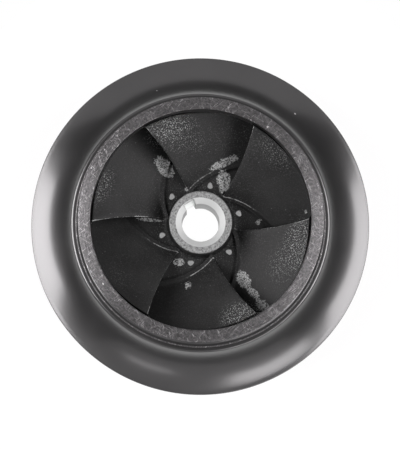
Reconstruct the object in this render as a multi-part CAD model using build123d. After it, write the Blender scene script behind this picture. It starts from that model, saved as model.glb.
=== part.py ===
from build123d import *
import os

import numpy as np

# A closed mixed-flow pump impeller, cast in one piece: a front shroud with the eye, a back
# shroud with the hub, and six twisted vanes between them. The axis is Z and the eye faces
# +Z. The origin is on the axis, in the end face of the rear sealing ring.

# Shrouds
outer_radius = 128.0
eye_radius = 79.5
outlet_width = 30.0
front_rim_thickness = 5.0
back_rim_thickness = 6.0
roof_exit_slope = 20.0
roof_rise = 52.7
eye_land = 6.5
eye_edge = 0.5
floor_exit_slope = 10.0
rim_edge = 0.8

# Machined neck round the eye, and the turned shoulder at its foot
neck_wall = 8.7
neck_length = 25.0
neck_edge = 0.6
neck_foot = 2.0
shoulder_width = 4.0
step_width = 2.0
step_depth = 1.2

# Rear sealing ring
ring_drop = 12.0
ring_wall = 7.0
ring_edge = 1.0
ring_root = 2.0
ring_foot = 3.0

# Hub
bore_radius = 14.0
bore_edge = 1.0
key_width = 8.0
key_depth = 3.3
key_angle = 120.0
hub_length = 44.0
hub_wall = 9.3
hub_nose_height = 19.0
hub_nose_edge = 0.8
hub_draft = 3.0
hub_foot = 2.5
countersink_width = 4.5
countersink_depth = 5.0
rear_boss_wall = 11.0
rear_boss_foot = 3.0
disc_radius = 40.0
disc_rise = 40.5
disc_thickness = 10.0
back_cone_top_radius = 52.0
back_cone_foot_radius = 98.0
back_cone_foot_rise = 8.0

# Balance holes through the hub disc
hole_count = 6
hole_radius = 2.5
hole_circle_radius = 30.0
hole_angle = 15.0

# Vanes. The inlet edge runs from the hub's foot out to the roof below the eye, and lags by
# edge_lean at the hub. Angles are measured from the circumference: inlet, middle, outlet.
vane_count = 6
vane_root_gap = 0.5
edge_setback = 8.0
edge_lean = 10.0
floor_angles = (33.0, 52.0, 27.0)
roof_angles = (18.0, 22.0, 28.0)
middle_share = 0.45
edge_thickness = 2.2
body_thickness = 5.6
body_start = 45.0
root_sink = 2.0
vane_overrun = 3.0

# Levels and radii that follow from the sizes above
back_rim_level = ring_drop
floor_level = back_rim_level + back_rim_thickness
roof_level = floor_level + outlet_width
front_rim_level = roof_level + front_rim_thickness
land_level = roof_level + roof_rise
eye_level = land_level + eye_land
neck_radius = eye_radius + neck_wall
shoulder_level = eye_level - neck_length
shoulder_radius = neck_radius + shoulder_width
bell_top_radius = shoulder_radius + step_width
bell_top_level = shoulder_level - step_depth
disc_level = floor_level + disc_rise
disc_back_level = disc_level - disc_thickness
nose_level = disc_level + hub_nose_height
hub_back_level = nose_level - hub_length
hub_nose_radius = bore_radius + hub_wall
hub_foot_radius = hub_nose_radius + hub_nose_height * np.tan(np.radians(hub_draft))
rear_boss_radius = bore_radius + rear_boss_wall
ring_inner_radius = neck_radius - ring_wall


def downhill(slope):
    """Unit direction that leads outwards and down at this slope, in degrees."""
    return np.array([np.cos(np.radians(slope)), -np.sin(np.radians(slope))])


def roof_line(overrun=0.0):
    """Inner face of the front shroud: a bend from the eye's bore out to the rim."""
    rim = (outer_radius, roof_level)
    along = downhill(roof_exit_slope)
    edges = [Spline((eye_radius, land_level), rim, tangents=[(0, -1), tuple(along)])]
    if overrun:
        edges.append(Line(rim, tuple(rim + overrun * along)))
    return Wire(edges)


def floor_line(start_radius, overrun=0.0):
    """Inner face of the back shroud: flat round the hub, then an S-shaped fall to the rim."""
    flat_end = (disc_radius, disc_level)
    rim = (outer_radius, floor_level)
    along = downhill(floor_exit_slope)
    edges = [
        Line((start_radius, disc_level), flat_end),
        Spline(flat_end, rim, tangents=[(1, 0), tuple(along)]),
    ]
    if overrun:
        edges.append(Line(rim, tuple(rim + overrun * along)))
    return Wire(edges)


def contour_points(contour, shares):
    """Radius and level along a contour, by share of its length."""
    places = [contour @ float(share) for share in shares]
    return np.array([(place.X, place.Y) for place in places])


def roof_below(level, overrun):
    """The stretch of the roof from this level to a little past the rim."""
    roof = roof_line(overrun)
    shares = np.linspace(0, 1, 201)
    levels = contour_points(roof, shares)[:, 1]
    return roof.trim(float(np.interp(-level, -levels, shares)), 1)


def turned(outline):
    """The solid that a closed outline, radius by level, sweeps about the axis."""
    face = Face(Wire([edge for piece in outline for edge in piece.edges()]))
    return revolve(Rot(X=90) * face, Axis.Z)


def front_shroud():
    bell_foot = (outer_radius - rim_edge, front_rim_level)
    bell_top = (bell_top_radius, bell_top_level)
    return turned(
        [
            roof_line(),
            Polyline(
                (outer_radius, roof_level),
                (outer_radius, front_rim_level - rim_edge),
                bell_foot,
            ),
            TangentArc(bell_foot, bell_top, tangent=tuple(-downhill(roof_exit_slope))),
            Polyline(
                bell_top,
                (shoulder_radius, bell_top_level),
                (shoulder_radius, shoulder_level),
                (neck_radius + neck_foot, shoulder_level),
                (neck_radius, shoulder_level + neck_foot),
                (neck_radius, eye_level - neck_edge),
                (neck_radius - neck_edge, eye_level),
                (eye_radius + eye_edge, eye_level),
                (eye_radius, eye_level - eye_edge),
                (eye_radius, land_level),
            ),
        ]
    )


def back_shroud():
    """Back shroud with the hub and its rear boss."""
    return turned(
        [
            floor_line(hub_foot_radius + hub_foot),
            Polyline(
                (outer_radius, floor_level),
                (outer_radius, back_rim_level + rim_edge),
                (outer_radius - rim_edge, back_rim_level),
                (back_cone_foot_radius, back_rim_level + back_cone_foot_rise),
                (back_cone_top_radius, disc_back_level),
                (rear_boss_radius + rear_boss_foot, disc_back_level),
                (rear_boss_radius, disc_back_level - rear_boss_foot),
                (rear_boss_radius, hub_back_level),
                (bore_radius + bore_edge, hub_back_level),
                (bore_radius, hub_back_level + bore_edge),
                (bore_radius, nose_level - countersink_depth),
                (bore_radius + countersink_width, nose_level),
                (hub_nose_radius - hub_nose_edge, nose_level),
                (hub_nose_radius, nose_level - hub_nose_edge),
                (hub_foot_radius, disc_level + hub_foot),
                (hub_foot_radius + hub_foot, disc_level),
            ),
        ]
    )


def back_level_at(radius):
    """Level of the back shroud's conical outer face."""
    foot = (back_cone_foot_radius, back_rim_level + back_cone_foot_rise)
    top = (back_cone_top_radius, disc_back_level)
    return np.interp(radius, (top[0], foot[0]), (top[1], foot[1]))


def sealing_ring():
    """The rear ring, with its root inside the back shroud's wall."""
    outer_foot_level = back_level_at(neck_radius)
    inner_foot_level = back_level_at(ring_inner_radius)
    root_level = inner_foot_level + ring_root
    return turned(
        [
            Polyline(
                (ring_inner_radius, ring_edge),
                (ring_inner_radius + ring_edge, 0),
                (neck_radius - ring_edge, 0),
                (neck_radius, ring_edge),
                (neck_radius, outer_foot_level - ring_foot),
                (neck_radius + ring_foot, outer_foot_level),
                (neck_radius, root_level),
                (ring_inner_radius, root_level),
                (ring_inner_radius - ring_foot, inner_foot_level),
                (ring_inner_radius, inner_foot_level - ring_foot),
                (ring_inner_radius, ring_edge),
            ),
        ]
    )


def wrap_angles(contour, angles, shares):
    """How far a vane has turned about the axis at each share of its length, in radians."""
    fine = np.linspace(0, 1, 401)
    path = contour_points(contour, fine)
    tangents = np.tan(np.radians(np.interp(fine, (0, middle_share, 1), angles)))
    steps = np.hypot(*np.diff(path, axis=0).T)
    radii = (path[1:, 0] + path[:-1, 0]) / 2
    turns = steps / radii / (tangents[1:] + tangents[:-1]) * 2
    return np.interp(shares, fine, np.concatenate([[0], np.cumsum(turns)]))


def vane():
    """One vane. Its two sides are fitted through points set off from a twisted mid-surface,
    and ruled faces close its inlet edge, its outlet end and its two roots."""
    roof = roof_below(eye_level - edge_setback, vane_overrun)
    floor = floor_line(hub_foot_radius + hub_foot + vane_root_gap, vane_overrun)

    along = np.linspace(0, 1, 12)
    floor_points = contour_points(floor, along)[:, None]
    roof_points = contour_points(roof, along)[:, None]
    span = np.linalg.norm(roof_points - floor_points, axis=2)
    sink = root_sink / span
    across = np.concatenate([-sink, 1 / 3 + 0 * sink, 2 / 3 + 0 * sink, 1 + sink], axis=1)

    place = floor_points + (roof_points - floor_points) * across[..., None]
    floor_turn = wrap_angles(floor, floor_angles, along)[:, None] + np.radians(edge_lean)
    roof_turn = wrap_angles(roof, roof_angles, along)[:, None]
    turn = -(floor_turn + (roof_turn - floor_turn) * across)
    radius = place[..., 0]
    camber = np.stack([radius * np.cos(turn), radius * np.sin(turn), place[..., 1]], axis=2)
    normal = np.cross(np.gradient(camber, axis=0), np.gradient(camber, axis=1))
    normal /= np.linalg.norm(normal, axis=2, keepdims=True)

    run = along[:, None] * (floor.length + (roof.length - floor.length) * across)
    growth = np.clip(run / body_start, 0, 1)
    growth = growth**2 * (3 - 2 * growth)
    half = (edge_thickness + (body_thickness - edge_thickness) * growth) / 2

    sides = []
    for sign in (-1, 1):
        points = camber + sign * half[..., None] * normal
        rows = [[tuple(point) for point in row] for row in points]
        sides.append(Face.make_surface_from_array_of_points(rows, tol=0.05))
    half_way = (len(along) // 2, across.shape[1] // 2)
    ends = [camber[0, half_way[1]], camber[-1, half_way[1]]]
    roots = [camber[half_way[0], 0], camber[half_way[0], -1]]
    caps = []
    for end in (*ends, *roots):
        borders = [side.edges().sort_by_distance(tuple(end))[0] for side in sides]
        caps.append(Face.make_surface_from_curves(*borders))
    return Solid(Shell([*sides, *caps]))


def turning_waste():
    """What the lathe takes off outside the rim."""
    outside = Cylinder(outer_radius + 5 * vane_overrun, 3 * eye_level)
    return outside - Cylinder(outer_radius, 3 * eye_level)


def keyway():
    length = bore_radius + key_depth
    slot = Box(length, key_width, 3 * hub_length, align=(Align.MIN, Align.CENTER, Align.CENTER))
    return Rot(Z=key_angle) * Pos(Z=nose_level) * slot


def balance_holes():
    hole = Cylinder(hole_radius, 3 * disc_thickness)
    step = 360 / hole_count
    turns = [hole_angle + step * index for index in range(hole_count)]
    at_circle = Pos(hole_circle_radius, 0, disc_level)
    return [Rot(Z=turn) * at_circle * hole for turn in turns]


def impeller():
    one_vane = vane()
    vanes = [one_vane.rotate(Axis.Z, 360 / vane_count * index) for index in range(vane_count)]
    casting = front_shroud().fuse(back_shroud(), sealing_ring(), *vanes)
    return casting.cut(turning_waste(), keyway(), *balance_holes())


os.makedirs("parts", exist_ok=True)
export_step(impeller(), "parts/impeller.step")
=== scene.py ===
import bpy
import numpy as np
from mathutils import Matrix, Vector


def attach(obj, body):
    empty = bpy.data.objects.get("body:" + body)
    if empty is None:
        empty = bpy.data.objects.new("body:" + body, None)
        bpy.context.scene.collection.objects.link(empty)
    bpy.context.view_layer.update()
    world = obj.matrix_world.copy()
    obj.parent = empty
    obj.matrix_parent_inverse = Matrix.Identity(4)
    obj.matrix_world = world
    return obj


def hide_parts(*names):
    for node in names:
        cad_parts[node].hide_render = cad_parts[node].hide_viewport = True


# A closed mixed-flow pump impeller, cast in one piece: black paint on the casting, bare turned iron
# on the eye's ring and neck, the rear ring and the boss, bare iron on the hub's nose and in its bore.
# The axis is Z and the eye is at the top. Shapes are worked out in millimetres, materials and the
# studio in metres.

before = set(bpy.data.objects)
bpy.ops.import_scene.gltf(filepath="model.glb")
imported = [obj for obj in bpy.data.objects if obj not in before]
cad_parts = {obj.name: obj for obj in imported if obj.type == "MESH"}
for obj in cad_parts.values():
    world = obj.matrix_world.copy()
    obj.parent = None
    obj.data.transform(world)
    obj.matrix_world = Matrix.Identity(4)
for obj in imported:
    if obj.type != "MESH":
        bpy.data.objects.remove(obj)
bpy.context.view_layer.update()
print("frame loaded")

perMetre = 1000


def downhill(slope):
    # unit direction outwards and down at a slope in degrees: (cos, -sin)
    return np.array([np.cos(np.radians(slope)), -np.sin(np.radians(slope))])


def bend(start, end, startWay, endWay, count):
    # cubic Hermite curve; each end's tangent is its direction times |dx| + |dy| of the gap over
    # that of the direction
    start, end, startWay, endWay = (np.array(part, float) for part in (start, end, startWay, endWay))
    reach = np.abs(end - start).sum()
    startPull = startWay * reach / np.abs(startWay).sum()
    endPull = endWay * reach / np.abs(endWay).sum()
    t = np.linspace(0, 1, count)[:, None]
    return ((2 * t**3 - 3 * t**2 + 1) * start + (3 * t**2 - 2 * t**3) * end
            + (t**3 - 2 * t**2 + t) * startPull + (t**3 - t**2) * endPull)


def sweepArc(start, end, startWay, count):
    # arc through both points that leaves start along the unit direction startWay; its radius is
    # the gap squared over twice the gap's part across startWay
    start, end, startWay = (np.array(part, float) for part in (start, end, startWay))
    side = np.array([-startWay[1], startWay[0]])
    gap = end - start
    radius = gap @ gap / (2 * gap @ side)
    centre = start + radius * side
    turn = 2 * np.arctan2(gap @ side, gap @ startWay)
    t = np.linspace(0, turn, count)[:, None]
    return centre - radius * side * np.cos(t) + radius * startWay * np.sin(t)


def rounded(corners, count=5):
    # (radius, level, round) per corner: each corner becomes an arc tangent to both of its sides,
    # which starts round / tan(half its angle) away from it; one more point just outside the arc at
    # each end lets the flats shade flat
    mostSpare, spareShare = 0.5, 0.3
    corners = np.array(corners, float)
    points = corners[:, :2]
    parts = [points[:1]]
    for before, here, after, size in zip(points, points[1:], points[2:], corners[1:, 2]):
        lengthBehind, lengthAhead = np.linalg.norm(before - here), np.linalg.norm(after - here)
        behind = (before - here) / lengthBehind
        ahead = (after - here) / lengthAhead
        half = np.arccos(np.clip(behind @ ahead, -1, 1)) / 2
        trim = size / np.tan(half)
        spare = min(mostSpare, spareShare * lengthBehind, spareShare * lengthAhead)
        middle = here + (behind + ahead) / np.linalg.norm(behind + ahead) * size / np.sin(half)
        first = here + behind * trim - middle
        sense = np.sign(behind[0] * ahead[1] - behind[1] * ahead[0])
        t = np.linspace(0, np.pi - 2 * half, count)[:, None]
        arc = first * np.cos(t) + sense * np.array([first[1], -first[0]]) * np.sin(t)
        parts += [[here + behind * (trim + spare)], middle + arc, [here + ahead * (trim + spare)]]
    parts.append(points[-1:])
    return np.concatenate(parts)


def pointOutwards(points, quads):
    # the signed volume of the closed shell decides which way its faces are wound
    a, b, c, d = (points[quads[:, k]] for k in range(4))
    volume = np.einsum("ij,ij->", a, np.cross(b, c)) + np.einsum("ij,ij->", a, np.cross(c, d))
    return quads if volume > 0 else quads[:, ::-1]


# Where the passages' paint is rough and speckled with painted glints, and where pale patches are painted as
# the light that comes in through the outlets,
# each an ellipse seen along the axis: middle (x, y), half length, half width in millimetres, turn of its
# length in degrees, strength.
roughPaintAndLight = {
    # rough paint, where bright dots are painted as glints of the light that comes in through the outlets
    "speckle": [
        (-21, 69, 19, 9, 14, 1.0), (70, -17, 20, 10, 74, 0.9), (73, -25, 15, 7, 70, 1.0),
        (29, -68, 16, 9, 14, 1.0), (-72, 26, 16, 8, 68, 0.6), (56, 50, 20, 10, -45, 0.45),
        (-60, -40, 14, 8, -60, 0.2), (30, 60, 30, 20, 0, 0.2), (62, -30, 18, 12, 60, 0.5),
        (-14, 62, 24, 12, 0, 0.4), (0, 0, 44, 44, 0, 0.32),
    ],
    # pale patches painted as the light that comes in through the outlets, pitted and broken up by sand
    "paleLitPatch": [
        (-26.5, 43.5, 10, 5.8, 130, 1.0), (18.5, 46, 13, 3.2, 22, 0.95), (18, 33, 8.5, 5.5, 95, 1.0),
        (16.3, 25.5, 3, 2, 90, 0.9), (31.5, -42.5, 8, 5, -60, 1.0), (38, -52, 8, 3, -50, 0.9),
        (45, -62.5, 6.5, 4, -48, 1.0), (-38, 4, 11, 1.5, -6, 0.95), (-16.5, -28.3, 4.5, 3.2, 0, 1.0),
        (-10.3, -45.5, 3.2, 2.6, 40, 0.9), (-10.3, 26.7, 1.8, 1.6, 0, 0.8),
        (43.8, 1.4, 3.0, 2.2, 60, 0.8), (78.6, 6.4, 2.2, 1.6, 60, 0.8),
    ],
}


def ellipseStrength(points, spots):
    # the strongest of the ellipses at each point: its strength in the middle, falling to 0 from
    # half of its size to 1.3 times its size
    end, fade = 1.3, 0.8
    amount = np.zeros(len(points))
    for x, y, length, width, turn, strength in spots:
        cosine, sine = np.cos(np.radians(turn)), np.sin(np.radians(turn))
        dx, dy = points[:, 0] - x, points[:, 1] - y
        reach = np.hypot((dx * cosine + dy * sine) / length, (dy * cosine - dx * sine) / width)
        amount = np.maximum(amount, strength * np.clip((end - reach) / fade, 0, 1))
    return amount


def makePiece(name, points, quads, materials, faceMaterial=None, wearAndHighlightMarks=None, crease=35):
    # a smooth piece of the impeller from points in millimetres, with its wear and its painted light as point
    # attributes and sharp edges where its faces meet at more than the crease angle
    mesh = bpy.data.meshes.new(name)
    mesh.from_pydata((points / perMetre).tolist(), [], pointOutwards(points, quads).tolist())
    for material in materials:
        mesh.materials.append(material)
    if faceMaterial is not None:
        mesh.polygons.foreach_set("material_index", faceMaterial.astype(np.int32))
    marks = {label: ellipseStrength(points, spots) for label, spots in roughPaintAndLight.items()}
    # the edge mark: worn paint and a painted highlight on a vane's inlet edge, a painted highlight along its
    # root
    if wearAndHighlightMarks is not None:
        marks["edge"] = wearAndHighlightMarks.ravel()
    for label, amounts in marks.items():
        mesh.attributes.new(label, "FLOAT", "POINT").data.foreach_set("value", amounts.astype(np.float32))
    mesh.polygons.foreach_set("use_smooth", np.ones(len(mesh.polygons), bool))
    mesh.set_sharp_from_angle(angle=np.radians(crease))
    mesh.update()
    piece = bpy.data.objects.new(name, mesh)
    bpy.context.scene.collection.objects.link(piece)
    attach(piece, "root")
    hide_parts("impeller")
    print(name, len(mesh.polygons), "faces")
    return piece


def gridFaces(rows, columns, closedRows, closedColumns):
    # quads of a grid, with its rows or columns joined end to end where they close; a point's number
    # is its row times the number of columns, plus its column
    i = np.arange(rows if closedRows else rows - 1)[:, None]
    j = np.arange(columns if closedColumns else columns - 1)[None]
    nextRow, nextColumn = (i + 1) % rows, (j + 1) % columns
    corners = ((i, j), (nextRow, j), (nextRow, nextColumn), (i, nextColumn))
    numbers = np.broadcast_arrays(*(row * columns + column for row, column in corners))
    return np.stack([number.ravel() for number in numbers], axis=1)


def turnedPoints(radii, levels, angles):
    # (radius cos angle, radius sin angle, level)
    return np.stack([radii * np.cos(angles), radii * np.sin(angles), levels + 0 * angles], axis=-1)


front = {
    "outerRadius": 128.0, "eyeRadius": 79.5, "roofLevel": 48.0, "landLevel": 100.7,
    "exitSlope": 20.0, "rimThickness": 5.0, "rimRound": 0.9,
    "bellTop": (94.2, 81.0), "bellRound": 2.0, "stepRise": 0.2, "stepRound": 0.08,
    "shoulderRadius": 92.2, "shoulderLevel": 82.2, "shoulderRound": 0.45,
    "neckRadius": 88.2, "neckFoot": 1.8, "eyeLevel": 107.2, "ringEdge": 0.35, "eyeEdge": 0.5,
    "roofSteps": 60, "bellSteps": 44, "sectors": 360,
    # bare metal on the neck: how far above the shoulder it starts, how far outside the neck's radius
    # it still counts; on the shoulder's edge: how far inwards the middle of the bare strip lies, half
    # the strip's width, and how far below the shoulder it starts
    "neckBare": (2.5, 0.3), "shoulderBare": (0.2, 0.3, 0.5),
}
roofRim = (front["outerRadius"], front["roofLevel"])
roofStart = (front["eyeRadius"], front["landLevel"])
bellFoot = (front["outerRadius"] - front["rimRound"], front["roofLevel"] + front["rimThickness"])


def roofCurve(count):
    # inner face of the front shroud: a bend from the eye's land out to the rim
    return bend(roofStart, roofRim, (0, -1), downhill(front["exitSlope"]), count)


def buildFrontShroud(paint, turnedIron, passagePaint):
    # a closed outline turned about the axis: roof, rim, bell, shoulder, neck and the eye's land;
    # the bell stops a little short of its top, where a round leads over to the shoulder
    shoulder = front["shoulderLevel"]
    roof = roofCurve(front["roofSteps"])
    bell = sweepArc(bellFoot, front["bellTop"], -downhill(front["exitSlope"]), front["bellSteps"])
    bellEnd, bellCorner = bell[-5], bell[-3]
    rimEdge = rounded([
        (*roofRim, 0),
        (front["outerRadius"], bellFoot[1], front["rimRound"]),
        (*bell[1], 0),
    ])[:-1]
    neck = rounded([
        (*bellEnd, 0),
        (*bellCorner, front["bellRound"]),
        (front["shoulderRadius"], bellCorner[1] + front["stepRise"], front["stepRound"]),
        (front["shoulderRadius"], shoulder, front["shoulderRound"]),
        (front["neckRadius"], shoulder, front["neckFoot"]),
        (front["neckRadius"], front["eyeLevel"], front["ringEdge"]),
        (front["eyeRadius"], front["eyeLevel"], front["eyeEdge"]),
        (*roofStart, 0),
    ])[1:-1]
    outline = np.concatenate([roof[:-1], rimEdge, bell[2:-5], neck])
    angles = np.linspace(0, 2 * np.pi, front["sectors"], endpoint=False)
    points = turnedPoints(outline[:, :1], outline[:, 1:], angles)
    radius, level = outline.T
    above, outside = front["neckBare"]
    isBare = (level > shoulder + above) & (radius < front["neckRadius"] + outside)
    inwards, halfWidth, below = front["shoulderBare"]
    onShoulder = np.abs(radius - front["shoulderRadius"] + inwards) < halfWidth
    isBare |= (level > shoulder - below) & onShoulder
    onRoof = np.arange(len(outline)) < len(roof) - 1
    kind = np.where(isBare, 1, np.where(onRoof, 2, 0))  # places in the list of materials
    faces = gridFaces(len(outline), len(angles), True, True)
    return makePiece("front_shroud", points.reshape(-1, 3), faces, [paint, turnedIron, passagePaint],
                     np.repeat(kind, len(angles)))


back = {
    "rimLevel": 12.0, "floorLevel": 18.0, "rimRound": 0.9, "exitSlope": 10.0,
    "discRadius": 40.0, "discLevel": 58.5, "discBack": 48.5,
    "coneTop": (52.0, 48.5), "coneTopRound": 8, "coneFoot": (98.0, 20.0), "coneFootRound": 12,
    "ringOuter": 88.2, "ringInner": 81.2, "ringEdge": 0.9, "ringFoot": 3.0,
    "bossRadius": 25.0, "bossFoot": 3.0, "bossEdge": 0.6, "hubBack": 33.5,
    "bore": 14.0, "boreEdge": 1.0,
    "countersinkWidth": 4.5, "countersinkDepth": 5.0, "countersinkFoot": 0.3, "countersinkEdge": 0.35,
    "noseLevel": 77.5, "noseRadius": 23.3, "noseEdge": 0.9, "footRadius": 24.3, "foot": 3.4,
    "keyAngle": 120.0, "keyWidth": 8.0, "keyReach": 17.3,
    # steps along the slot's walls and its end, where a wall starts as a share of the reach, and the
    # gap between a wall and the bore's next point, in millimetres and in radians
    "wallSteps": 7, "endSteps": 9, "wallStart": 0.99, "slotGap": 0.01,
    "holes": 6, "holeRadius": 2.5, "holePaint": 0.4, "holeCircle": 30.0, "holeAngle": 15.0,
    # each term of the paint's outline: waves round a hole, turn from hole to hole, share of the paint
    "holeWaves": ((2, 7, 0.54), (3, 11, 0.46)), "holeSteps": 24, "holeOvercut": 5,
    "floorSteps": 60, "discRows": 13, "sectors": 288,
    # bare metal: this far down from the nose's end, in the bore from this far below it, on the ring
    # from this far below the cone, and this far up from the boss's end; snug and loose are how far
    # outside a radius still counts as on it
    "noseBare": 1.2, "boreBare": 0.3, "ringBare": 3, "bossBare": 0.8, "snug": 0.2, "loose": 0.5,
}
floorRim = (front["outerRadius"], back["floorLevel"])
flatEnd = (back["discRadius"], back["discLevel"])


def floorCurve(count):
    # inner face of the back shroud: an S-shaped fall from the flat round the hub out to the rim
    return bend(flatEnd, floorRim, (1, 0), downhill(back["exitSlope"]), count)


def coneLevelAt(radius):
    # level of the straight line from the cone's top to its foot
    top, fall = back["coneTop"], np.array(back["coneFoot"]) - back["coneTop"]
    return top[1] + fall[1] / fall[0] * (radius - top[0])


def keyReachAt(angles):
    # how far the key's slot reaches from the axis in each direction: the lesser of its reach over
    # the cosine and half its width over the sine of the swing from its middle, 0 on the far side
    swing = (angles - np.radians(back["keyAngle"]) + np.pi) % (2 * np.pi) - np.pi
    inside = np.abs(swing) < np.pi / 2
    toEnd = back["keyReach"] / np.where(inside, np.cos(swing), 1)
    toSide = back["keyWidth"] / 2 / np.maximum(np.abs(np.sin(swing)), 1e-6)
    return np.where(inside, np.minimum(toEnd, toSide), 0)


def hubAngles():
    # even steps, with a close fan in place of those near the slot: steps across its end, and along
    # each wall the arcsine of half the slot's width over the radius
    even = np.linspace(0, 2 * np.pi, back["sectors"], endpoint=False)
    middle, halfKey, gap = np.radians(back["keyAngle"]), back["keyWidth"] / 2, back["slotGap"]
    corner = np.arctan2(halfKey, back["keyReach"])
    wallStart = back["keyReach"] * back["wallStart"] / np.cos(corner)
    wall = np.arcsin(halfKey / np.linspace(wallStart, back["bore"], back["wallSteps"]))
    wide = np.arcsin(halfKey / (back["bore"] - gap)) + gap
    near = np.abs(even - middle) < wide + gap / 2
    slotEnd = np.linspace(-corner, corner, back["endSteps"])
    slot = middle + np.concatenate([slotEnd, wall, -wall, [wide, -wide]])
    return np.sort(np.concatenate([even[~near], slot]))


def cutHoles(piece):
    # the balance holes: one mesh of closed prisms taken from the piece; thick paint narrows each
    # one to its radius less the paint times one minus the sum of the waves round it
    holes, steps = back["holes"], back["holeSteps"]
    swing = np.linspace(0, 2 * np.pi, steps, endpoint=False)
    middles = np.radians(back["holeAngle"] + 360 / holes * np.arange(holes))[:, None]
    waves = sum(share * np.cos(count * swing + turn * middles) for count, turn, share in back["holeWaves"])
    clear = back["holeRadius"] - back["holePaint"] * (1 - waves)
    x = back["holeCircle"] * np.cos(middles) + clear * np.cos(swing)
    y = back["holeCircle"] * np.sin(middles) + clear * np.sin(swing)
    low, high = back["discBack"] - back["holeOvercut"], back["discLevel"] + back["holeOvercut"]
    levels = np.array([low, high])[:, None, None]
    points = np.stack(np.broadcast_arrays(x, y, levels), axis=-1).reshape(-1, 3) / perMetre
    bottom = np.arange(holes * steps).reshape(holes, steps)
    following = np.roll(bottom, -1, axis=1)
    top = bottom + holes * steps
    walls = np.stack([bottom, following, following + holes * steps, top], axis=-1).reshape(-1, 4)
    mesh = bpy.data.meshes.new("hole_cutter")
    mesh.from_pydata(points.tolist(), [], walls.tolist() + bottom[:, ::-1].tolist() + top.tolist())
    cutter = bpy.data.objects.new("hole_cutter", mesh)
    bpy.context.scene.collection.objects.link(cutter)
    cut = piece.modifiers.new("holes", "BOOLEAN")
    cut.operation, cut.solver, cut.object = "DIFFERENCE", "EXACT", cutter
    whole = piece.evaluated_get(bpy.context.evaluated_depsgraph_get())
    piece.data = bpy.data.meshes.new_from_object(whole)
    piece.modifiers.clear()
    bpy.data.objects.remove(cutter)
    print(piece.name, "with its holes", len(piece.data.polygons), "faces")


def buildBackShroud(paint, turnedIron, passagePaint, noseIron, boreIron):
    # a closed outline turned about the axis: the rim, the cone with the sealing ring, the boss, the
    # bore, the nose, the disc and the floor; in the bore the radius grows to the key slot's reach
    outer, inner, bore, noseTop = back["ringOuter"], back["ringInner"], back["bore"], back["noseLevel"]
    under = rounded([
        (*floorRim, 0),
        (front["outerRadius"], back["rimLevel"], back["rimRound"]),
        (*back["coneFoot"], back["coneFootRound"]),
        (outer, coneLevelAt(outer), back["ringFoot"]),
        (outer, 0, back["ringEdge"]),
        (inner, 0, back["ringEdge"]),
        (inner, coneLevelAt(inner), back["ringFoot"]),
        (*back["coneTop"], back["coneTopRound"]),
        (back["bossRadius"], back["discBack"], back["bossFoot"]),
        (back["bossRadius"], back["hubBack"], back["bossEdge"]),
        (bore, back["hubBack"], back["boreEdge"]),
        (bore, noseTop - back["countersinkDepth"], back["countersinkFoot"]),
        (bore + back["countersinkWidth"], noseTop, back["countersinkEdge"]),
        (back["noseRadius"], noseTop, back["noseEdge"]),
        (back["footRadius"], back["discLevel"], back["foot"]),
        (*flatEnd, 0),
    ])
    footRows = 6  # points of the lower outline from the second one of the foot's round on
    disc = np.linspace(under[-2], flatEnd, back["discRows"])[1:-1]
    outline = np.concatenate([under[:-1], disc, floorCurve(back["floorSteps"])[:-1]])
    radius, level = outline.T
    angles = hubAngles()
    snug, loose = back["snug"], back["loose"]
    inBore = (radius < bore + back["countersinkWidth"] + snug) & (level > back["hubBack"] - snug)
    radii = np.where(inBore[:, None], np.maximum(radius[:, None], keyReachAt(angles)), radius[:, None])
    points = turnedPoints(radii, level[:, None], angles)
    onNose = (level > noseTop - back["noseBare"]) & (radius < back["noseRadius"] + loose)
    onBore = inBore & (level < noseTop - back["boreBare"])
    onRing = (radius > inner - loose) & (radius < outer + loose)
    onRing &= level < coneLevelAt(radius) - back["ringBare"]
    onBoss = (radius < back["bossRadius"] + snug) & (level < back["hubBack"] + back["bossBare"])
    onFloor = np.arange(len(outline)) >= len(under) - footRows
    kind = np.select([onBore, onNose, onRing | onBoss, onFloor], [4, 3, 1, 2], 0)  # as in the list
    faces = gridFaces(len(outline), len(angles), True, True)
    return makePiece("back_shroud", points.reshape(-1, 3), faces,
                     [paint, turnedIron, passagePaint, noseIron, boreIron], np.repeat(kind, len(angles)))


vane = {
    # the inlet edge starts this far below the eye's end, leans by this angle in degrees and ends this
    # far outside the hub's foot; the contours run past the rim and are trimmed to just inside it
    "count": 6, "setback": 8.0, "lean": 10.0, "rootGap": 3.0, "overrun": 3.0, "rimGap": 0.05,
    # angles from the circumference in degrees, at the inlet, at the middle share and at the outlet
    "floorAngles": (33.0, 52.0, 27.0), "roofAngles": (18.0, 22.0, 28.0), "middleShare": 0.45,
    # the edge's thickness grows to the body's over this length
    "edgeThickness": 2.2, "bodyThickness": 5.6, "bodyStart": 45.0,
    # the roots go this far into the shrouds and widen there by this much per millimetre
    "rootRound": 1.8, "sink": 0.8, "sinkFlare": 1.5,
    # heights of the rows of points above the floor and below the roof, and rows between them
    "rootHeights": (0, 0.25, 0.6, 1.1, 1.8, 2.7, 4.0), "middleRows": 10,
    # an even number of nose rows lets both roots close in pairs; a side starts at its own row 2,
    # because the nose takes the place of the rows before it
    "steps": 60, "crowding": 1.25, "noseRows": 12, "sideStart": 2, "fineSteps": 2001, "wrapSteps": 801,
    # how strong each vane's light line is: worn paint and a painted highlight along its inlet edge,
    # a painted highlight along the start of its root
    "edgeWearAndHighlight": (1.0, 0.6, 0.8, 0.95, 0.6, 0.8), "rootHighlight": (0.1, 0.65, 0.5, 0.15, 0.55, 0.6),
    "edgeWearAndHighlightLeast": 0.4, "edgeWearAndHighlightPower": 6, "rootHighlightReach": 46, "rootHighlightFade": 8, "rootHighlightRow": 3,
}


def contourAt(contour, shares):
    # points of a contour by share of its length, and that length
    run = np.concatenate([[0], np.cumsum(np.hypot(*np.diff(contour, axis=0).T))])
    return np.stack([np.interp(shares * run[-1], run, part) for part in contour.T], axis=-1), run[-1]


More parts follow.
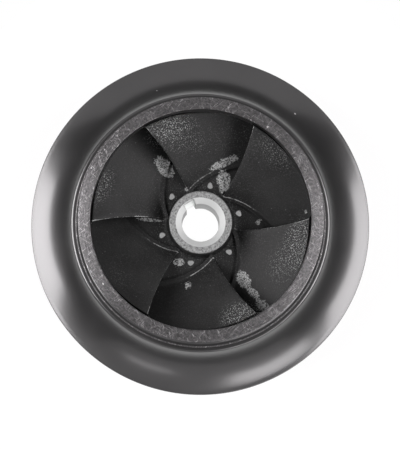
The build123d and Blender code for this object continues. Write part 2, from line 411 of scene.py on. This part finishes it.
def wrapAngles(contour, angles, shares):
    # the sum of ds / (r tan beta) along the contour, in radians, where beta runs through the three
    # angles from the circumference
    fine = np.linspace(0, 1, vane["wrapSteps"])
    path, _ = contourAt(contour, fine)
    tangents = np.tan(np.radians(np.interp(fine, (0, vane["middleShare"], 1), angles)))
    steps = np.hypot(*np.diff(path, axis=0).T)
    turns = 4 * steps / (path[1:, 0] + path[:-1, 0]) / (tangents[1:] + tangents[:-1])
    return np.interp(shares, fine, np.concatenate([[0], np.cumsum(turns)]))


def vaneContours():
    # the floor from the hub's foot and the roof from below the eye, both to a little past the rim
    roof, floor = roofCurve(vane["fineSteps"]), floorCurve(vane["fineSteps"])
    level = front["eyeLevel"] - vane["setback"]
    roofInlet = (np.interp(-level, -roof[:, 1], roof[:, 0]), level)
    roofOutlet = roof[-1] + vane["overrun"] * downhill(front["exitSlope"])
    floorInlet = (back["footRadius"] + vane["rootGap"], back["discLevel"])
    floorOutlet = floor[-1] + vane["overrun"] * downhill(back["exitSlope"])
    return (np.concatenate([[floorInlet], floor, [floorOutlet]]),
            np.concatenate([[roofInlet], roof[roof[:, 1] < level], [roofOutlet]]))


def flushWithRim(side):
    # a side's rows are resampled so that the last one lies just inside the rim's cylinder: each
    # column keeps its shape but ends where its radius gets there
    radius = np.hypot(side[..., 0], side[..., 1])
    share = np.linspace(0, 1, len(side))
    trimmed = np.empty_like(side)
    for column in range(side.shape[1]):
        rising = np.maximum.accumulate(radius[:, column])
        end = np.interp(front["outerRadius"] - vane["rimGap"], rising, share)
        for axis in range(3):
            trimmed[:, column, axis] = np.interp(share * end, share, side[:, column, axis])
    return trimmed


def buildVane(index, passagePaint):
    # twisted mid-surface between a floor contour and a roof contour, carried out along its normals
    # to both sides; the nose is half round, and both roots flare out as a concave quarter round
    floorPath, roofPath = vaneContours()
    even = np.linspace(0, 1, vane["steps"])
    along = np.concatenate([[0], even[1:] ** vane["crowding"]])
    floorPoints, floorLength = contourAt(floorPath, along)
    roofPoints, roofLength = contourAt(roofPath, along)
    span = np.linalg.norm(roofPoints - floorPoints, axis=1)[:, None]
    root = np.array([-vane["sink"], *vane["rootHeights"]])
    middle = np.linspace(0, 1, vane["middleRows"] + 2)[1:-1] * (span - 2 * root[-1]) + root[-1]
    height = np.concatenate([root + 0 * span, middle, span - root[::-1]], axis=1)
    across = height / span

    place = floorPoints[:, None] + (roofPoints - floorPoints)[:, None] * across[..., None]
    floorTurn = wrapAngles(floorPath, vane["floorAngles"], along)[:, None] + np.radians(vane["lean"])
    roofTurn = wrapAngles(roofPath, vane["roofAngles"], along)[:, None]
    turn = 2 * np.pi * index / vane["count"] - floorTurn - (roofTurn - floorTurn) * across
    camber = turnedPoints(place[..., 0], place[..., 1], turn)
    ahead = np.gradient(camber, axis=0)
    ahead /= np.linalg.norm(ahead, axis=2, keepdims=True)
    normal = np.cross(ahead, np.gradient(camber, axis=1))
    normal /= np.linalg.norm(normal, axis=2, keepdims=True)

    run = along[:, None] * (floorLength + (roofLength - floorLength) * across)
    growth = np.clip(run / vane["bodyStart"], 0, 1)
    growth = growth**2 * (3 - 2 * growth)
    half = (vane["edgeThickness"] + (vane["bodyThickness"] - vane["edgeThickness"]) * growth) / 2
    rootRound = vane["rootRound"]
    depth = np.clip(rootRound - np.minimum(height, span - height), 0, None)
    inside = np.clip(depth, 0, rootRound)
    flare = rootRound - np.sqrt(rootRound**2 - inside**2) + vane["sinkFlare"] * (depth - inside)

    # one closed loop per level: side, half-round nose, other side
    swing = np.linspace(-np.pi / 2, np.pi / 2, vane["noseRows"] + 2)[1:-1]
    bulge = half[0] + flare[0]
    forwards = np.cos(swing)[:, None, None] * bulge[:, None] - half[0][:, None]
    sideways = np.sin(swing)[:, None] * bulge
    nose = camber[0] - ahead[0] * forwards + normal[0] * sideways[..., None]
    sides = [camber + sign * (half + flare)[..., None] * normal for sign in (-1, 1)]
    sides = [flushWithRim(side)[vane["sideStart"]:] for side in sides]
    loop = np.concatenate([sides[0][::-1], nose, sides[1]])
    rows, columns = loop.shape[:2]

    # the two roots are closed by strips between the sides, hidden inside the shrouds
    near = np.arange(rows // 2)
    far = rows - 1 - near
    strip = np.stack([near[:-1], near[1:], far[1:], far[:-1]], axis=1) * columns
    faces = np.concatenate([gridFaces(rows, columns, True, False), strip[:, ::-1], strip + columns - 1])

    # a light line along the inlet edge, worn paint and a painted highlight, most near the ring, and a
    # painted highlight along the start of the root
    wearAndHighlightMarks = np.zeros(loop.shape[:2])
    least, row = vane["edgeWearAndHighlightLeast"], vane["rootHighlightRow"]
    nearRing = least + (1 - least) * across[0] ** vane["edgeWearAndHighlightPower"]
    edgeWearAndHighlight = vane["edgeWearAndHighlight"][index] * np.cos(swing)[:, None] ** 2 * nearRing
    wearAndHighlightMarks[len(sides[0]):len(sides[0]) + len(nose)] = edgeWearAndHighlight
    # the painted highlight along the root, near the hub
    reach = np.hypot(loop[:, row, 0], loop[:, row, 1])
    nearHub = np.clip((vane["rootHighlightReach"] - reach) / vane["rootHighlightFade"], 0, 1)
    wearAndHighlightMarks[:, row] = np.maximum(wearAndHighlightMarks[:, row], vane["rootHighlight"][index] * nearHub)
    return makePiece(f"vane_{index + 1}", loop.reshape(-1, 3), faces, [passagePaint], wearAndHighlightMarks=wearAndHighlightMarks)


class Signal:
    # a shader socket that takes part in sums like a number
    def __init__(self, finish, socket):
        self.finish, self.socket = finish, socket

    def maths(self, operation, *terms):
        return self.finish.node("ShaderNodeMath", {"operation": operation}, dict(enumerate(terms)))

    def __add__(self, other):
        return self.maths("ADD", self, other)

    def __sub__(self, other):
        return self.maths("SUBTRACT", self, other)

    def __rsub__(self, other):
        return self.maths("SUBTRACT", other, self)

    def __mul__(self, other):
        return self.maths("MULTIPLY", self, other)

    def __pow__(self, other):
        return self.maths("POWER", self, other)

    __radd__, __rmul__ = __add__, __mul__

    def between(self, low, high):
        # 0 below low, 1 above high and smooth between them
        values = {"Value": self, "From Min": low, "From Max": high}
        return self.finish.node("ShaderNodeMapRange", {"interpolation_type": "SMOOTHSTEP"}, values)


class Finish:
    # one material and the nodes that feed its Principled shader
    def __init__(self, name, **constants):
        self.material = bpy.data.materials.new(name)
        self.material.use_nodes = True
        self.tree = self.material.node_tree
        self.shader = self.tree.nodes["Principled BSDF"]
        for socket, value in constants.items():
            self.shader.inputs[socket.replace("_", " ")].default_value = value

    def node(self, kind, settings=None, values=None, output=0):
        made = self.tree.nodes.new(kind)
        for name, value in (settings or {}).items():
            setattr(made, name, value)
        for name, value in (values or {}).items():
            self.feed(made.inputs[name], value)
        return Signal(self, made.outputs[output])

    def feed(self, socket, value):
        if isinstance(value, Signal):
            self.tree.links.new(value.socket, socket)
        else:
            socket.default_value = value

    def place(self):
        return self.node("ShaderNodeTexCoord", output="Object")

    def aroundAxis(self):
        # distance from the axis and height of a point
        place = self.place()
        x, y, z = (self.node("ShaderNodeSeparateXYZ", values={0: place}, output=k) for k in range(3))
        return (x * x + y * y) ** 0.5, z

    def noise(self, scale, detail=2.0, roughness=0.5, vector=None):
        values = {"Vector": vector or self.place(), "Scale": scale, "Detail": detail, "Roughness": roughness}
        return self.node("ShaderNodeTexNoise", values=values)

    def stretched(self, turn, along, across):
        # noise drawn out along one direction of the XY plane
        values = {"Vector": self.place(), "Rotation": (0, 0, turn), "Scale": (along, across, across)}
        return self.noise(1.0, vector=self.node("ShaderNodeMapping", {"vector_type": "TEXTURE"}, values))

    def blend(self, share, first, second):
        return self.node("ShaderNodeMix", {"data_type": "RGBA"}, {0: share, 6: first, 7: second}, output=2)

    def spot(self, centre, size):
        # 1 at a point of the piece, fading out at this distance
        values = {0: self.place(), 1: centre}
        reach = self.node("ShaderNodeVectorMath", {"operation": "DISTANCE"}, values, output="Value")
        return 1 - reach.between(size * 0.5, size)

    def mark(self, name):
        return self.node("ShaderNodeAttribute", {"attribute_name": name}, output="Fac")

    def bump(self, height, distance):
        relief = self.node("ShaderNodeBump", values={"Height": height, "Distance": distance})
        self.feed(self.shader.inputs["Normal"], relief)

    def finish(self, **links):
        for socket, value in links.items():
            self.feed(self.shader.inputs[socket.replace("_", " ")], value)
        return self.material


def grey(value):
    # iron grey, a trace warmer in red than in green
    return (value * 1.02, value, value * 1.01, 1)


def cool(value):
    # iron grey that the warm lamps turn neutral
    return (value * 0.975, value, value * 0.985, 1)


def plain(value):
    # grey with no tint
    return (value, value, value, 1)


blackLook = {
    "clouds": 28, "grain": 1400, "ripple": 170, "dark": 0.011, "light": 0.015,
    "roughness": 0.24, "relief": 0.00005, "chipGrey": 0.35, "chipSize": 0.0014,
    "chips": ((-0.0315, 0.1015, 0.067), (0.0725, 0.082, 0.062), (-0.064, -0.097, 0.060)),
}


def blackPaint():
    # glossy paint with a coat: two greys in clouds, a faint ripple, a few chips down to the iron
    look = Finish("black_paint", IOR=1.6, Coat_IOR=1.6, Coat_Roughness=0.2, Coat_Weight=1.0)
    cloud = look.noise(blackLook["clouds"], detail=4)
    grain = look.noise(blackLook["grain"])
    ripple = look.noise(blackLook["ripple"], detail=3)
    colour = look.blend(cloud.between(0.3, 0.7), grey(blackLook["dark"]), grey(blackLook["light"]))
    chips = sum(look.spot(centre, blackLook["chipSize"]) for centre in blackLook["chips"])
    colour = look.blend(chips.between(0.2, 0.8), colour, grey(blackLook["chipGrey"]))
    look.bump(ripple * 0.55 + grain * 0.12, blackLook["relief"])
    return look.finish(Base_Color=colour, Roughness=blackLook["roughness"] + 0.1 * cloud + 0.08 * grain)


passageLook = {
    "clouds": 45, "grain": 1250, "pits": 1000, "sand": 520, "specks": 700,
    # the greys of the dots, the patches and the light line are painted light: glints, light from the
    # outlets, and a highlight on edges and roots that also stands for worn paint on the edges
    "dark": 0.008, "light": 0.015, "grainGrey": 0.035, "speckGrey": 0.2, "glintDotGrey": 0.24,
    "paleLitPatchGrey": 0.36, "wearAndHighlightGrey": 0.45, "roughness": 0.52, "relief": 0.00025,
}


def passagePaint():
    # dull, grainy paint: bright dots painted as glints where the speckle mark is set; pale grey painted
    # as the light from the outlets where the patch mark is, pitted, with an outline that sand breaks up;
    # and a light line along the edge mark: worn paint and a painted highlight on the inlet edge, a painted
    # highlight along the root
    look = Finish("passage_paint", IOR=1.34)
    speckle, paleLitPatch, edge = look.mark("speckle"), look.mark("paleLitPatch"), look.mark("edge")
    cloud = look.noise(passageLook["clouds"], detail=4)
    grain = look.noise(passageLook["grain"], roughness=0.6)
    pit = look.noise(passageLook["pits"], roughness=0.6)
    sand = look.noise(passageLook["sand"], detail=5, roughness=0.75)
    specks = look.noise(passageLook["specks"], detail=1).between(0.74, 0.8)
    colour = look.blend(cloud.between(0.3, 0.7), cool(passageLook["dark"]), cool(passageLook["light"]))
    colour = look.blend(grain.between(0.45, 0.7) * 0.5, colour, cool(passageLook["grainGrey"]))
    colour = look.blend(specks * 0.5, colour, cool(passageLook["speckGrey"]))
    # bright dots in the speckle areas: painted glints
    glintDots = (grain + speckle * 0.07).between(0.61, 0.68) * speckle.between(0.0, 0.7)
    colour = look.blend(glintDots, colour, cool(passageLook["glintDotGrey"]))
    # pale patches: painted light from the outlets, with pits and a sandy outline
    patch = (paleLitPatch + (sand - 0.5) * 1.5).between(0.4, 0.55)
    unpitted = 1 - 0.9 * pit.between(0.47, 0.58)
    colour = look.blend(patch * unpitted, colour, cool(passageLook["paleLitPatchGrey"]))
    # light line: worn paint with a painted highlight on the inlet edge, a painted highlight on the root
    wearAndHighlight = (edge + (sand - 0.5) * 1.6).between(0.2, 0.85)
    colour = look.blend(wearAndHighlight, colour, cool(passageLook["wearAndHighlightGrey"]))
    look.bump(sand * 0.5 + grain * (0.2 + speckle * 0.6), passageLook["relief"])
    return look.finish(Base_Color=colour, Roughness=passageLook["roughness"] + 0.15 * cloud + 0.2 * patch)


turnedLook = {
    "lines": 2100, "linesPhase": 9.1, "mottle": 650, "chips": 330, "dark": 0.095, "light": 0.21,
    "scratchGrey": 0.4, "chipGrey": 0.8, "roughness": 0.28, "relief": 0.00024,
    # direction in radians, length, width, and the noise level above which a scratch shows
    "scratches": ((0.7, 0.006, 0.0006, 0.62), (-0.6, 0.005, 0.0005, 0.63), (1.9, 0.006, 0.0006, 0.63)),
}


def turnedIron():
    # metal with turning lines, which are noise over the radius and the height, and three
    # directions of scratches
    look = Finish("turned_iron", Metallic=1.0)
    radius, z = look.aroundAxis()
    scale, phase = turnedLook["lines"], turnedLook["linesPhase"]
    across = look.node("ShaderNodeCombineXYZ", values={0: radius * scale, 1: phase, 2: z * scale})
    lines = look.noise(1.0, vector=across)
    mottle = look.noise(turnedLook["mottle"], detail=4, roughness=0.7)
    scratches = sum(
        look.stretched(turn, length, width).between(start, start + 0.08)
        for turn, length, width, start in turnedLook["scratches"]
    )
    chips = look.noise(turnedLook["chips"]).between(0.72, 0.76)
    colour = look.blend(mottle.between(0.25, 0.75), grey(turnedLook["dark"]), grey(turnedLook["light"]))
    colour = look.blend((scratches * 0.8).between(0.0, 1.0), colour, grey(turnedLook["scratchGrey"]))
    colour = look.blend(chips, colour, grey(turnedLook["chipGrey"]))
    look.bump(lines + mottle * 0.25 - scratches * 0.1, turnedLook["relief"])
    return look.finish(Base_Color=colour, Roughness=turnedLook["roughness"] + 0.14 * mottle)


noseLook = {
    "grain": 900, "pits": 700, "dark": 0.15, "light": 0.33, "pitGrey": 0.04,
    "roughness": 0.5, "relief": 0.00015,
}


def noseIron():
    # dull, pitted metal
    look = Finish("nose_iron", Metallic=0.6)
    grain = look.noise(noseLook["grain"], detail=4, roughness=0.7)
    pits = look.noise(noseLook["pits"], detail=4, roughness=0.7).between(0.5, 0.64)
    colour = look.blend(grain.between(0.3, 0.7), cool(noseLook["dark"]), cool(noseLook["light"]))
    colour = look.blend(pits * 0.8, colour, cool(noseLook["pitGrey"]))
    look.bump(grain - pits * 0.5, noseLook["relief"])
    return look.finish(Base_Color=colour, Roughness=noseLook["roughness"] + 0.1 * grain)


boreLook = {
    # the bore's dark and light greys, both near black, are painted shade
    "grain": 500, "rings": (40, 40, 1800), "dark": 0.02, "light": 0.04, "sinkGrey": 0.58, "keySlotLightGrey": 0.95,
    # heights between which the bore gives way to its countersink, and distances from the axis
    # between which it gives way to the end of the key's slot, painted near white as the light seen through
    # the slot
    "sinkFoot": (0.0722, 0.0727), "keyEnd": (0.0155, 0.0165), "relief": 0.00004,
}


def boreIron():
    # a bore painted dark as shade, below a bright turned countersink, with the end of the key's slot
    # painted near white as the light seen through the slot
    look = Finish("bore_iron")
    radius, z = look.aroundAxis()
    sink = z.between(*boreLook["sinkFoot"])
    grain = look.noise(boreLook["grain"], detail=3)
    squeezed = look.node("ShaderNodeMapping", values={"Vector": look.place(), "Scale": boreLook["rings"]})
    rings = look.noise(1.0, vector=squeezed)
    # near black: painted shade in the bore
    colour = look.blend(grain.between(0.3, 0.7), cool(boreLook["dark"]), cool(boreLook["light"]))
    colour = look.blend(sink, colour, cool(boreLook["sinkGrey"]))
    # the end of the key's slot is painted near white as the light seen through the slot
    slotLight = radius.between(*boreLook["keyEnd"]) * (1 - sink)
    colour = look.blend(slotLight, colour, cool(boreLook["keySlotLightGrey"]))
    look.bump(rings, boreLook["relief"])
    rough = 0.3 + 0.1 * rings + 0.2 * sink
    return look.finish(Base_Color=colour, Metallic=0.95 - 0.6 * sink, Roughness=rough)


paint, passage, iron, nose, boreWall = blackPaint(), passagePaint(), turnedIron(), noseIron(), boreIron()
buildFrontShroud(paint, iron, passage)
cutHoles(buildBackShroud(paint, iron, passage, nose, boreWall))
for number in range(vane["count"]):
    buildVane(number, passage)
print("impeller built")


studio = {
    # the floor: its middle's y, half width and half depth, its grey, how far it glows by itself and
    # how much brighter it is where it is mirrored
    "sheet": (-0.05, 0.245, 0.28), "sheetSteps": 96, "sheetGrey": 0.9,
    "sheetGlow": 0.85, "mirroredGlow": 0.25,
    # distances from the axis: where the full white below the bore ends, painted light that takes away the
    # part's shadow there, and where the painted shade below the balance holes starts and ends, each over a
    # short way; and how deep the shade is
    "whiteEnd": (0.019, 0.020), "shadeStart": (0.020, 0.022), "shadeEnd": (0.055, 0.065), "shade": 0.68,
    "lens": 106.26, "distance": 1.006, "tilt": 4.6, "azimuth": -6.0, "roll": -0.9,
    "aim": (-0.0003, -0.00011, 0.053),
    "lampCentre": (0, 0, 0.06), "reach": 1.5, "room": 0.052, "tint": (1.0, 0.972, 0.99),
    # name: turn about the axis, lowest and highest elevation, width in degrees, radiance
    "panels": {
        "left": (179, 14, 60, 52, 5.8), "right": (-7, 20, 60, 60, 4.8), "low_right": (-62, 22, 37, 34, 3.6),
        "streak": (248, 14, 20, 20, 1.6), "back": (90, 0, 60, 90, 0.45), "near": (-90, 0, 60, 90, 0.35),
    },
}


def makeFloor():
    # an oval sheet that glows to the camera and in mirror rays: (0, middle) + the half axes times
    # (cos, sin); its far edges are what the flank beside the neck still mirrors
    middle, halfWidth, halfDepth = studio["sheet"]
    swing = np.linspace(0, 2 * np.pi, studio["sheetSteps"], endpoint=False)
    outline = np.stack([halfWidth * np.cos(swing), middle + halfDepth * np.sin(swing), 0 * swing], axis=1)
    mesh = bpy.data.meshes.new("floor")
    mesh.from_pydata(outline.tolist(), [], [list(range(len(outline)))])
    ground = bpy.data.objects.new("floor", mesh)
    bpy.context.scene.collection.objects.link(ground)
    look = Finish("white_floor", Base_Color=plain(studio["sheetGrey"]), Roughness=0.9)
    seen = look.node("ShaderNodeLightPath", output="Is Camera Ray")
    mirrored = look.node("ShaderNodeLightPath", output="Is Glossy Ray")
    white = look.blend(mirrored, plain(1), plain(1 + studio["mirroredGlow"]))
    glow = look.node("ShaderNodeEmission", values={"Color": white})
    fromAxis, _ = look.aroundAxis()
    shaded = fromAxis.between(*studio["shadeStart"]) * (1 - fromAxis.between(*studio["shadeEnd"]))
    # painted light: the floor glows fully below the bore, where the part's shadow would fall
    belowBore = 1 - fromAxis.between(*studio["whiteEnd"])
    strength = studio["sheetGlow"] + (1 - studio["sheetGlow"]) * belowBore
    share = (seen + mirrored) * strength * (1 - studio["shade"] * shaded)
    lit = Signal(look, look.shader.outputs[0])
    mixed = look.node("ShaderNodeMixShader", values={0: share, 1: lit, 2: glow})
    look.feed(look.tree.nodes["Material Output"].inputs["Surface"], mixed)
    mesh.materials.append(look.material)


def makeLamps():
    # each panel is square to its middle direction and fills its share of the sky: its sides are
    # twice the reach times the tangent of half their angle, and the level side also times the
    # cosine of the elevation; the energy grows with the area, so that the radiance is as given
    centre, reach = Vector(studio["lampCentre"]), studio["reach"]
    for name, (turn, low, high, width, radiance) in studio["panels"].items():
        bearing, rise = np.radians(turn), np.radians((low + high) / 2)
        way = Vector((np.cos(bearing) * np.cos(rise), np.sin(bearing) * np.cos(rise), np.sin(rise)))
        light = bpy.data.lights.new(name, "AREA")
        light.shape = "RECTANGLE"
        light.size = 2 * reach * np.tan(np.radians(width / 2)) * np.cos(rise)
        light.size_y = 2 * reach * np.tan(np.radians((high - low) / 2))
        light.color = studio["tint"]
        light.energy = 4 * radiance * light.size * light.size_y
        lamp = bpy.data.objects.new(name, light)
        lamp.location = centre + way * reach
        lamp.rotation_mode = "QUATERNION"
        lamp.rotation_quaternion = way.to_track_quat("Z", "Y")
        bpy.context.scene.collection.objects.link(lamp)


def makeRoom():
    # the world is white to the camera and dim to the object
    world = bpy.data.worlds.new("room")
    world.use_nodes = True
    tree = world.node_tree
    seen = tree.nodes.new("ShaderNodeLightPath").outputs["Is Camera Ray"]
    shade = tree.nodes.new("ShaderNodeMapRange")
    shade.inputs["To Min"].default_value = studio["room"]
    tree.links.new(seen, shade.inputs["Value"])
    tree.links.new(shade.outputs[0], tree.nodes["Background"].inputs["Strength"])
    tree.nodes["Background"].inputs["Color"].default_value = plain(1)
    bpy.context.scene.world = world


def makeCamera():
    # the camera looks down on the eye, tilted from the axis towards its azimuth
    data = bpy.data.cameras.new("camera")
    data.lens = studio["lens"]
    camera = bpy.data.objects.new("camera", data)
    bpy.context.scene.collection.objects.link(camera)
    tilt, turn = np.radians(studio["tilt"]), np.radians(studio["azimuth"])
    way = Vector((np.sin(tilt) * np.sin(turn), -np.sin(tilt) * np.cos(turn), np.cos(tilt)))
    camera.location = Vector(studio["aim"]) + studio["distance"] * way
    camera.rotation_euler = (tilt, 0, turn)
    camera.rotation_euler.rotate_axis("Z", np.radians(studio["roll"]) - turn)
    bpy.context.scene.camera = camera


makeFloor()
makeLamps()
makeRoom()
makeCamera()
bpy.context.scene.view_settings.view_transform = "Standard"
print("scene ready")
